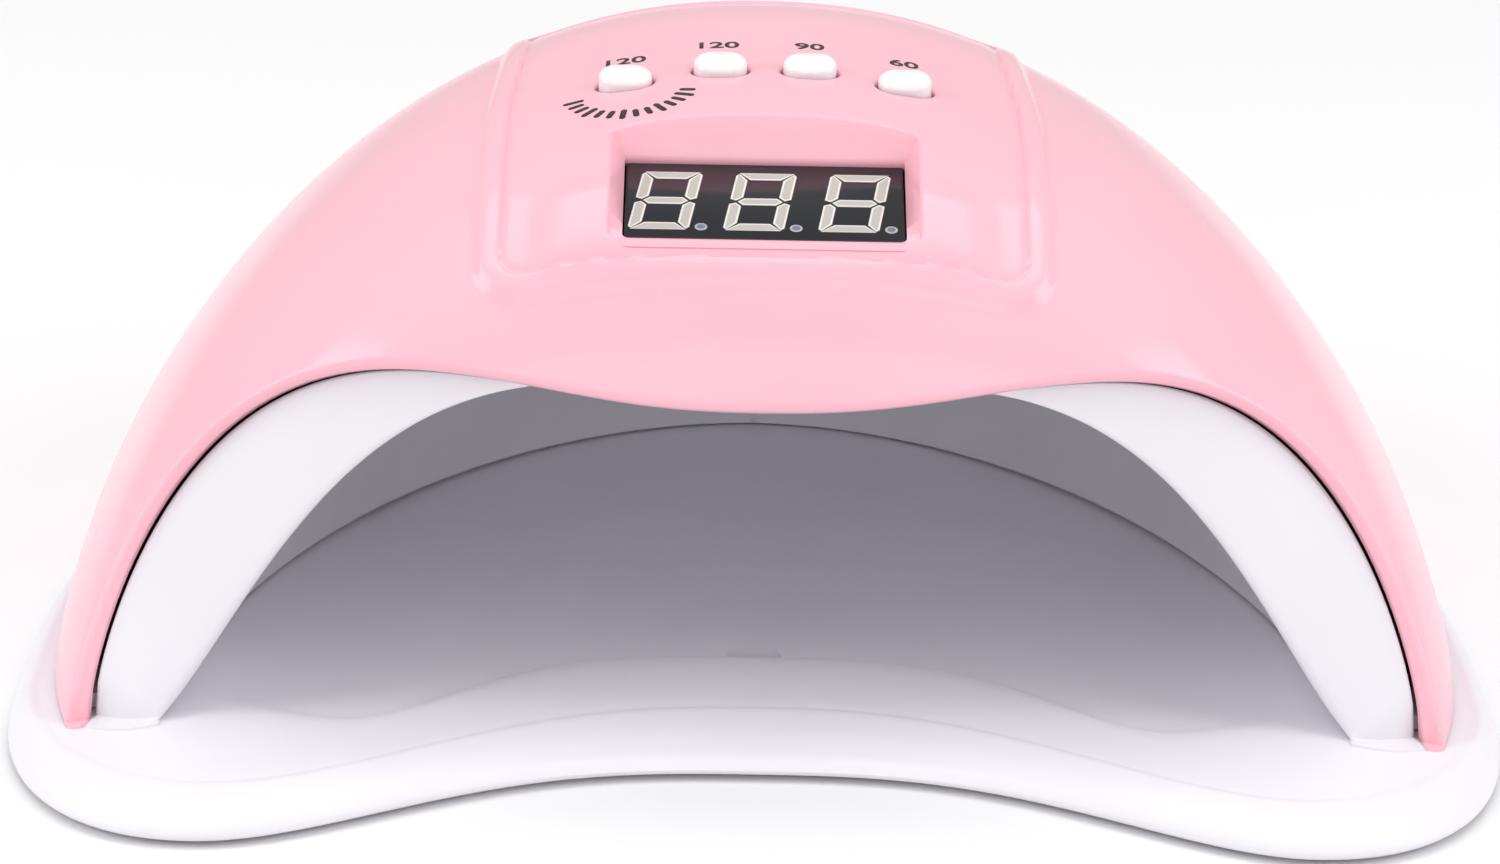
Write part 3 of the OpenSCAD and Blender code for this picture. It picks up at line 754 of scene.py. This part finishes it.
def ledge_top(x, t):
    """The ledge lies on the display's face at the front and rises behind it."""
    return face_height(t) + LEDGE_RISE * smooth((t - 22) / 12) - 0.05


def ledge_foot(x, t):
    return face_height(t) - 0.8


rims = [window_outline(WINDOW_HALF_W, WINDOW_FRONT, brow, g) for g in (0.35, 0.1, 0.0)]
inner_rim = window_outline(LEDGE_HALF_W, WINDOW_FRONT + 0.15, ledge, 0.0)
window_rings = [rims[0], (rims[1], 0.1), (rims[2], 0.35), (inner_rim, ledge_top), (inner_rim, ledge_foot)]
open_hole(housing, housing_skin, WORLD, window_rings, reach=120)

for x, y, z in KEY_PLACES:
    gaps = [2 * (KEY_GAP + g) for g in (0.4, 0.12, 0.0)]
    pills = [pill_outline(KEY_W + gap, KEY_D + gap) for gap in gaps]
    open_hole(housing, housing_skin, ON_PANEL @ Matrix.Translation((x, y, z)),
              [pills[0], (pills[1], 0.1), (pills[2], 0.4), (pills[2], KEY_HOLE_DEPTH)])

JACK_Z = 24.0
JACK_T = 138.5
JACK_HOLE_R = 4.4


def round_hole(r, edge, slope, depth):
    """Rings of a round hole with its rim softened: edge wider on the surface, and slope just under it."""
    return [circle_outline(r + edge), (circle_outline(r + slope), 0.1), (circle_outline(r), edge),
            (circle_outline(r), depth)]


BEHIND = WORLD @ Matrix.Translation((0, JACK_T, JACK_Z)) @ turned(-90, "X")
open_hole(housing, housing_skin, BEHIND, round_hole(JACK_HOLE_R, 0.4, 0.1, 1.6))
bmesh.ops.recalc_face_normals(housing, faces=housing.faces)
face_towards(housing, Vector((0, 0.03, 0.083)), Vector((0, 0, 1)))
new_piece("upper_housing_shell", housing, "lamp_head", [FINISHES["housing_pink"]],
          ["upper_housing"], crease=50, wall=HOUSING_WALL)

# ---- inner shell: the lip band and the vault of the hand cavity ----
SHELL_HALF = 84
LIP_ROWS = 26
VAULT_ROWS = 96
SHELL_WALL = 1.4
shell_turns = [sin(90 * i / SHELL_HALF) for i in range(SHELL_HALF + 1)]


def lip_turn(c):
    u = arcsin(c * c)
    for _ in range(8):
        u = arcsin(power(c, 1 / cavity_side(arch_edge(u))))
    return u


lip_turns = [lip_turn(c) for c in shell_turns]
lip_starts = [lip_start_over(u) for u in lip_turns]


def shell_point(i, j):
    k = abs(i - SHELL_HALF)
    sign = 1 if i > SHELL_HALF else -1
    u = lip_turns[k]
    if j <= LIP_ROWS:
        p = lip_point(u, lip_starts[k], j / LIP_ROWS)
    else:
        t = mix(arch_edge(u), CAVITY_BACK, sin(90 * (j - LIP_ROWS) / VAULT_ROWS))
        p = cavity_point(arcsin(power(shell_turns[k], 1 / cavity_side(t))), t)
    p.x = sign * abs(p.x)
    return p


shell_columns = range(2 * SHELL_HALF + 1)
shell = grid_sheet(len(shell_columns), LIP_ROWS + VAULT_ROWS + 1, shell_point)
arch = {key(shell_point(i, j)) for i in shell_columns for j in range(LIP_ROWS - 2, LIP_ROWS + 2)}
soften(shell, [v for v in shell.verts if key(v.co) in arch and not v.is_boundary], 10)
finish_mesh(shell, WORLD)
face_towards(shell, Vector((0, 0, 0.053)), Vector((0, 0, -1)))
shell_skin = BVHTree.FromBMesh(shell)


LOOKING_IN = turned(180, "X")
CEILING_LIGHTS = ((-19.5, -6.5, 6.5, 19.5), (-21, -7, 7, 21))
SIDE_LIGHTS = ((-5.5, 5.5), (-24, -8, 8, 24))
REAR_LIGHTS = ((-12, 0, 12), (0,))


def light_spots():
    """Where each light looks out of the vault, its z towards the hand."""
    boards = [(Matrix.Translation((0, 50, 57)), CEILING_LIGHTS)]
    for s in (-1, 1):
        side = Matrix.Translation((s * 63.7, 50, 30.8)) @ turned(s * 52, "Y") @ turned(-9, "X")
        boards.append((side, SIDE_LIGHTS))
    boards.append((Matrix.Translation((0, 111.8, 44.6)) @ turned(-50, "X"), REAR_LIGHTS))
    return [WORLD @ board @ LOOKING_IN @ Matrix.Translation((x, y, 0))
            for board, (across, along_it) in boards for x in across for y in along_it]


LIGHT_HOLE_R = 2.9
for spot in light_spots():
    open_hole(shell, shell_skin, spot, round_hole(LIGHT_HOLE_R, 0.35, 0.1, 2.0), reach=14)
bmesh.ops.recalc_face_normals(shell, faces=shell.faces)
face_towards(shell, Vector((0.03, 0.02, 0.053)), Vector((0, 0, -1)))
new_piece("inner_shell_vault", shell, "lamp_head", [FINISHES["shell_white"]],
          ["inner_shell"], crease=50, wall=SHELL_WALL)

# ---- base tray ----
TRAY_RIM = [0, 24.3, 1.5, 73, 101.5, 19, 125.3, 2.2, 2.6]
TRAY_RIDGE = [12.7, 28.5, 1.3, 73, 99, 19, 122.8, 2, 2.6]
TRAY_DISH = [32, 24.4, 1.9, 56, 76, 22, 102, 2, 2]
TRAY_HEART = [d * 0.45 + e for d, e in zip(TRAY_DISH, [18, 0, 1, 0, 0, 20, 0, 1.2, 1.2])]
TRAY_STEPS = 52


def blend(a, b, f):
    return [mix(p, q, f) for p, q in zip(a, b)]


def tray_outline(o, z):
    """A ring of the tray. o is front, drop, sharpness, lobe_x, half_w, mid, rear, lobe_n, rear_n."""
    n = TRAY_STEPS
    half = [(o[3] * i / n, o[0] - o[1] * smooth((i / n) ** o[2])) for i in range(n)]
    for i in range(n):
        a = 90 * i / n
        half.append((o[3] + (o[4] - o[3]) * power(sin(a), 2 / o[7]),
                     o[5] - (o[5] - o[0] + o[1]) * power(cos(a), 2 / o[7])))
    for i in range(n + 1):
        a = 90 * i / n
        half.append((o[4] * power(cos(a), 2 / o[8]), o[5] + o[6] * power(sin(a), 2 / o[8])))
    half[-1] = (0.0, half[-1][1])
    points = half + [(-x, y) for x, y in half[-2:0:-1]]
    return [Vector((x, y, z)) for x, y in points]


seat = TRAY_SEAT_Z
tray_levels = [
    (blend(TRAY_RIDGE, TRAY_DISH, 0.95), seat - 3.1),
    (blend(TRAY_RIDGE, TRAY_DISH, 0.5), seat - 2),
    (blend(TRAY_RIM, TRAY_RIDGE, 0.75), seat - 2.4),
    (blend(TRAY_RIM, TRAY_RIDGE, 0.35), 0.5),
    (blend(TRAY_RIM, TRAY_RIDGE, 0.08), 0.5),
    (TRAY_RIM, 1.5),
    (blend(TRAY_RIM, TRAY_RIDGE, 0.1), 2.9),
    (blend(TRAY_RIM, TRAY_RIDGE, 0.5), 4.5),
    (TRAY_RIDGE, seat + 0.1),
    (blend(TRAY_RIDGE, TRAY_DISH, 0.06), seat - 0.12),
    (blend(TRAY_RIDGE, TRAY_DISH, 0.15), seat),
    (TRAY_DISH, seat),
    (blend(TRAY_DISH, TRAY_HEART, 0.12), seat - 0.88),
    (TRAY_HEART, seat - 1.1),
]
SUB = 4
fine_levels = []
for (a, za), (b, zb) in zip(tray_levels, tray_levels[1:]):
    fine_levels += [tray_outline(blend(a, b, i / SUB), mix(za, zb, i / SUB)) for i in range(SUB)]
fine_levels.append(tray_outline(*tray_levels[-1]))
SHRINKS = (0.02, 0.2, 0.4, 0.6, 0.8)
FEET = ((-84, 2), (84, 2), (-62, 108), (62, 108))
FOOT_SEAT = ((6.1, 1.7), (6.1, 0.9), (7.3, 0.75), (7.5, 1.0), (7.5, 3.4))
MAGNETS = ((-86.8, 22), (86.8, 22), (-72, 92), (72, 92))
MAGNET_SEAT = ((4.1, 3.5), (4.1, 1.3), (5.3, 1.15), (5.5, 1.4), (5.5, 4.0))


def shrunk(ring, k):
    return [Vector((p.x * k, mix(MIDDLE, p.y, k), p.z)) for p in ring]


fine_levels = ([shrunk(fine_levels[0], k) for k in SHRINKS] + fine_levels
               + [shrunk(fine_levels[-1], k) for k in reversed(SHRINKS)])
tray = bmesh.new()
loft(tray, fine_levels, caps=(True, True))
corner_rings = {key(p) for k in range(1, len(tray_levels) - 1) for s in (-1, 0, 1)
                for p in fine_levels[len(SHRINKS) + SUB * k + s]}
soften(tray, [v for v in tray.verts if key(v.co) in corner_rings], 3)
bmesh.ops.recalc_face_normals(tray, faces=tray.faces)
for places, profile in ((FEET, FOOT_SEAT), (MAGNETS, MAGNET_SEAT)):
    for x, t in places:
        loft(tray, [[Vector((x + px, t + py, h)) for px, py in circle_outline(r, 24)] for r, h in profile])
finish_mesh(tray, WORLD)
new_piece("base_tray_moulding", tray, "base", [FINISHES["tray_white"]],
          ["base_tray"], crease=40)

# ---- display ----
DISPLAY_W = 37.6
DISPLAY_D = 19.0
DISPLAY_BODY_H = 8.0
DIGIT_PITCH = 12.7
DIGIT_H = 14.2
DIGIT_W = 8.2
SEGMENT_W = 1.7
SEGMENT_GAP = 0.42
SEGMENT_CUT = 0.45
POINT_R = 0.85
LEAN = math.tan(math.radians(7.5))
FACE_DROP = 0.1


def block_ring(w, d, z, r, n=5):
    ring = []
    for sx, sy, start in ((1, 1, 0), (-1, 1, 90), (-1, -1, 180), (1, -1, 270)):
        for i in range(n + 1):
            a = start + 90 * i / n
            ring.append(Vector((sx * (w / 2 - r) + r * cos(a), sy * (d / 2 - r) + r * sin(a), z)))
    return ring


display = bmesh.new()
loft(display, [block_ring(DISPLAY_W, DISPLAY_D, -DISPLAY_BODY_H, 0.4),
               block_ring(DISPLAY_W, DISPLAY_D, -FACE_DROP - 0.3, 0.4),
               block_ring(DISPLAY_W - 0.2, DISPLAY_D - 0.2, -FACE_DROP - 0.08, 0.35),
               block_ring(DISPLAY_W - 0.6, DISPLAY_D - 0.6, -FACE_DROP, 0.3)])
finish_mesh(display, ON_PANEL)
new_piece("display_module", display, "lamp_head", [FINISHES["display_black"]],
          ["display_body"])


def upright(outer, near, far):
    """A side bar from near the middle of the digit to its far end, where its corner is cut."""
    w = SEGMENT_W
    inner = outer - w
    up = math.copysign(1, far)
    return [
        (outer - SEGMENT_CUT, far),
        (outer, far - up * SEGMENT_CUT),
        (outer, near + up * 0.3),
        (outer - w * 0.5, near - up * 0.1),
        (inner, near + up * w * 0.45),
        (inner, far - up * w * 0.95),
    ]


def digit_bars():
    """The seven bars of a digit that stands upright."""
    h, w, b = DIGIT_H / 2, DIGIT_W / 2, SEGMENT_W
    gap = SEGMENT_GAP
    bars = []
    for s in (-1, 1):
        bars.append([(s * x, y) for x, y in upright(w, gap / 2 + 0.15, h - 0.2)])
        bars.append([(s * x, y) for x, y in upright(w, -gap / 2 - 0.15, -h + 0.2)])
    for up in (-1, 1):
        e = w - gap * 0.9
        bars.append([(-e, up * h), (e, up * h), (e - b, up * (h - b)), (b - e, up * (h - b))])
    m = b / 2
    e = w - b * 0.5 - gap * 0.5
    bars.append([(-e, 0), (m - e, m), (e - m, m), (e, 0), (e - m, -m), (m - e, -m)])
    return bars


SEGMENT_UP = 0.10
segments = bmesh.new()


def raise_shape(points, rim, first, second):
    """A low pad of the outline with a rim and a core of different finishes."""
    verts = [segments.verts.new((x, y, 0)) for x, y in points]
    face = segments.faces.new(verts)
    face.normal_update()
    if face.normal.z < 0:
        face.normal_flip()
    up = bmesh.ops.extrude_face_region(segments, geom=[face])["geom"]
    top = next(g for g in up if isinstance(g, bmesh.types.BMFace))
    bmesh.ops.translate(segments, vec=(0, 0, SEGMENT_UP), verts=top.verts)
    bmesh.ops.inset_region(segments, faces=[top], thickness=0.06, depth=0.02)
    made = bmesh.ops.inset_region(segments, faces=[top], thickness=rim, depth=0.0)["faces"]
    top.material_index = second
    for f in made:
        f.material_index = first


for d in (-1, 0, 1):
    centre = d * DIGIT_PITCH - 0.6
    for bar in digit_bars():
        raise_shape([(centre + x + y * LEAN, y) for x, y in bar], 0.24, 1, 0)
    px = centre + DIGIT_W / 2 + 1.65 - DIGIT_H / 2 * LEAN
    py = 0.75 - DIGIT_H / 2
    raise_shape([(px + dx, py + dy) for dx, dy in circle_outline(POINT_R, 18)], 0.22, 2, 3)
bmesh.ops.recalc_face_normals(segments, faces=segments.faces)
bmesh.ops.translate(segments, vec=(0, 0, -FACE_DROP - 0.03), verts=segments.verts)
bmesh.ops.transform(segments, matrix=ON_PANEL, verts=segments.verts)
new_piece("display_digits", segments, "lamp_head",
          [FINISHES["segment_grey"], segment_rim, point_grey, point_core], ["display_segments"])

# ---- keys ----
KEY_PROUD = 2.4
KEY_FOOT = -3.6
KEY_FLANGE = 0.8
key_names = ["low_heat_key", "long_timer_key", "middle_timer_key", "short_timer_key"]
# the side of a cap from its foot up, as (how much wider than the cap, height)
shoulder = KEY_PROUD - 1.15
key_profile = [(KEY_FLANGE, KEY_FOOT), (KEY_FLANGE, KEY_FOOT + 0.7), (0.0, KEY_FOOT + 0.7), (0.0, shoulder)]
key_profile += [(-0.95 * (1 - cos(a)), shoulder + 0.82 * sin(a)) for a in (15, 30, 45, 60, 75, 90)]
key_crown = [(0.75, 0.15), (0.5, 0.25), (0.25, 0.31), (0.04, 0.33)]
for i, ((x, y, z), body) in enumerate(zip(KEY_PLACES, key_names), 1):
    cap = bmesh.new()
    rings = []
    for grow, h in key_profile:
        pill = pill_outline(KEY_W + 2 * grow, KEY_D + 2 * grow)
        rings.append([Vector((x + px, y + py, z + h)) for px, py in pill])
    top = rings[-1]
    for shrink, h in key_crown:
        level = z + KEY_PROUD - 0.33 + h
        rings.append([Vector((mix(x, p.x, shrink), mix(y, p.y, shrink), level)) for p in top])
    loft(cap, rings)
    finish_mesh(cap, ON_PANEL)
    new_piece(f"key_cap_dome_{i}", cap, body, [FINISHES["key_white"]],
              [f"key_cap_{i}"], crease=60)

# ---- printed figures and the arc of strokes round the first key ----
LABEL_H = 3.0
LABELS = [("120", -19.4, 64.8), ("120", -6.4, 69.2), ("90", 6.3, 69.2), ("60", 19.5, 65.8)]
INK = 0.05
INK_WALL = 0.14
ARC_R = 7.9
ARC = (-18.5, 50.9)
STROKES = 14
STROKE_W = 0.84


def lay_on_housing(bm, turn, cx, ct):
    """Lays a flat shape on the housing round a place, and gives it the thickness of the ink."""
    for v in bm.verts:
        x = cx + v.co.x * cos(turn) - v.co.y * sin(turn)
        t = ct + v.co.x * sin(turn) + v.co.y * cos(turn)
        v.co = Vector((x, t, skin_height(x, t) + INK))
    bmesh.ops.recalc_face_normals(bm, faces=bm.faces)
    if sum(f.normal.z for f in bm.faces) < 0:
        bmesh.ops.reverse_faces(bm, faces=bm.faces)


def add_to(whole, part, name):
    """Joins one small mesh to a bigger one."""
    mesh = bpy.data.meshes.new(name)
    part.to_mesh(mesh)
    part.free()
    whole.from_mesh(mesh)


ink = bmesh.new()
for word, x, t in LABELS:
    curve = bpy.data.curves.new("figure", "FONT")
    curve.body = word
    curve.size = 1.0
    curve.offset = 0.018
    curve.resolution_u = 4
    writing = bpy.data.objects.new("figure", curve)
    bpy.context.collection.objects.link(writing)
    shown = writing.evaluated_get(bpy.context.evaluated_depsgraph_get())
    figure = bpy.data.meshes.new_from_object(shown)
    bpy.data.objects.remove(writing)
    one = bmesh.new()
    one.from_mesh(figure)
    bmesh.ops.remove_doubles(one, verts=one.verts, dist=1e-4)
    xs = [v.co.x for v in one.verts]
    ys = [v.co.y for v in one.verts]
    tall = LABEL_H / (max(ys) - min(ys))
    for v in one.verts:
        v.co.x = (v.co.x - (max(xs) + min(xs)) / 2) * tall * 1.05
        v.co.y = (v.co.y - (max(ys) + min(ys)) / 2) * tall
    lay_on_housing(one, 0, x, t)
    add_to(ink, one, "figure")
for i in range(STROKES):
    one = bmesh.new()
    outline = pill_outline(2.3 if i % 3 else 2.9, STROKE_W, 6)
    one.faces.new([one.verts.new((px, py, 0)) for px, py in outline])
    bmesh.ops.translate(one, vec=(ARC_R, 0, 0), verts=one.verts)
    lay_on_housing(one, mix(188, 352, i / (STROKES - 1)), *ARC)
    add_to(ink, one, "stroke")
bmesh.ops.transform(ink, matrix=WORLD, verts=ink.verts)
new_piece("key_figures", ink, "lamp_head", [label_ink], wall=INK_WALL)

# ---- floor, light and camera ----
FLOOR_DROP = 0.3 * MM
floor_bm = bmesh.new()
bmesh.ops.create_grid(
    floor_bm, x_segments=8, y_segments=8, size=6, matrix=Matrix.Translation((0, 0, -FLOOR_DROP))
)
floor_mesh = bpy.data.meshes.new("floor")
floor_bm.to_mesh(floor_mesh)
floor_bm.free()
floor = bpy.data.objects.new("floor", floor_mesh)
bpy.context.collection.objects.link(floor)
floor_finish = Finish("pale_floor")
floor_tone = floor_finish.colours((0.90, 0.90, 0.91), (0.88, 0.88, 0.89), floor_finish.noise(3.0))
floor_mesh.materials.append(floor_finish.set(Base_Color=floor_tone, Roughness=0.6))


def soft_light(name, place, at, width, height, watts):
    """A soft rectangular light that faces a point."""
    data = bpy.data.lights.new(name, "AREA")
    data.shape = "RECTANGLE"
    data.size = width
    data.size_y = height
    data.energy = watts
    lamp = bpy.data.objects.new(name, data)
    bpy.context.collection.objects.link(lamp)
    lamp.location = place
    lamp.rotation_mode = "QUATERNION"
    lamp.rotation_quaternion = (Vector(place) - Vector(at)).to_track_quat("Z", "Y")


soft_light("left_box", (-0.95, -0.35, 0.55), (0, 0, 0.05), 0.5, 0.9, 4.2)
soft_light("right_box", (0.95, -0.35, 0.55), (0, 0, 0.05), 0.5, 0.9, 4.2)
soft_light("top_box", (0.0, 0.15, 1.25), (0, 0, 0.05), 1.3, 0.9, 6.5)
soft_light("front_fill", (0.0, -1.5, 0.55), (0, 0, 0.03), 1.2, 0.7, 3.0)

world = bpy.data.worlds.new("studio")
world.use_nodes = True
background = next(n for n in world.node_tree.nodes if n.type == "BACKGROUND")
background.inputs["Color"].default_value = (1.0, 1.0, 1.0, 1.0)
background.inputs["Strength"].default_value = 0.58
bpy.context.scene.world = world

AIM = Vector((-1.4, -38.4, 42)) * MM
CAMERA_FAR = 750 * MM
AZIMUTH = -0.5
ELEVATION = 20.0
ROLL = 1.16
LENS = 133.4
SENSOR_W = 36
to_camera = Vector((sin(AZIMUTH) * cos(ELEVATION), -cos(AZIMUTH) * cos(ELEVATION), sin(ELEVATION)))
right = Vector((0, 0, 1)).cross(to_camera).normalized()
up = to_camera.cross(right)
rolled_right = right * cos(ROLL) + up * sin(ROLL)
rolled_up = up * cos(ROLL) - right * sin(ROLL)
camera_data = bpy.data.cameras.new("camera")
camera_data.lens = LENS
camera_data.sensor_width = SENSOR_W
camera = bpy.data.objects.new("camera", camera_data)
bpy.context.collection.objects.link(camera)
looking = Matrix((rolled_right, rolled_up, to_camera)).transposed()
camera.matrix_world = Matrix.Translation(AIM + to_camera * CAMERA_FAR) @ looking.to_4x4()
bpy.context.scene.camera = camera
bpy.context.scene.view_settings.view_transform = "Standard"
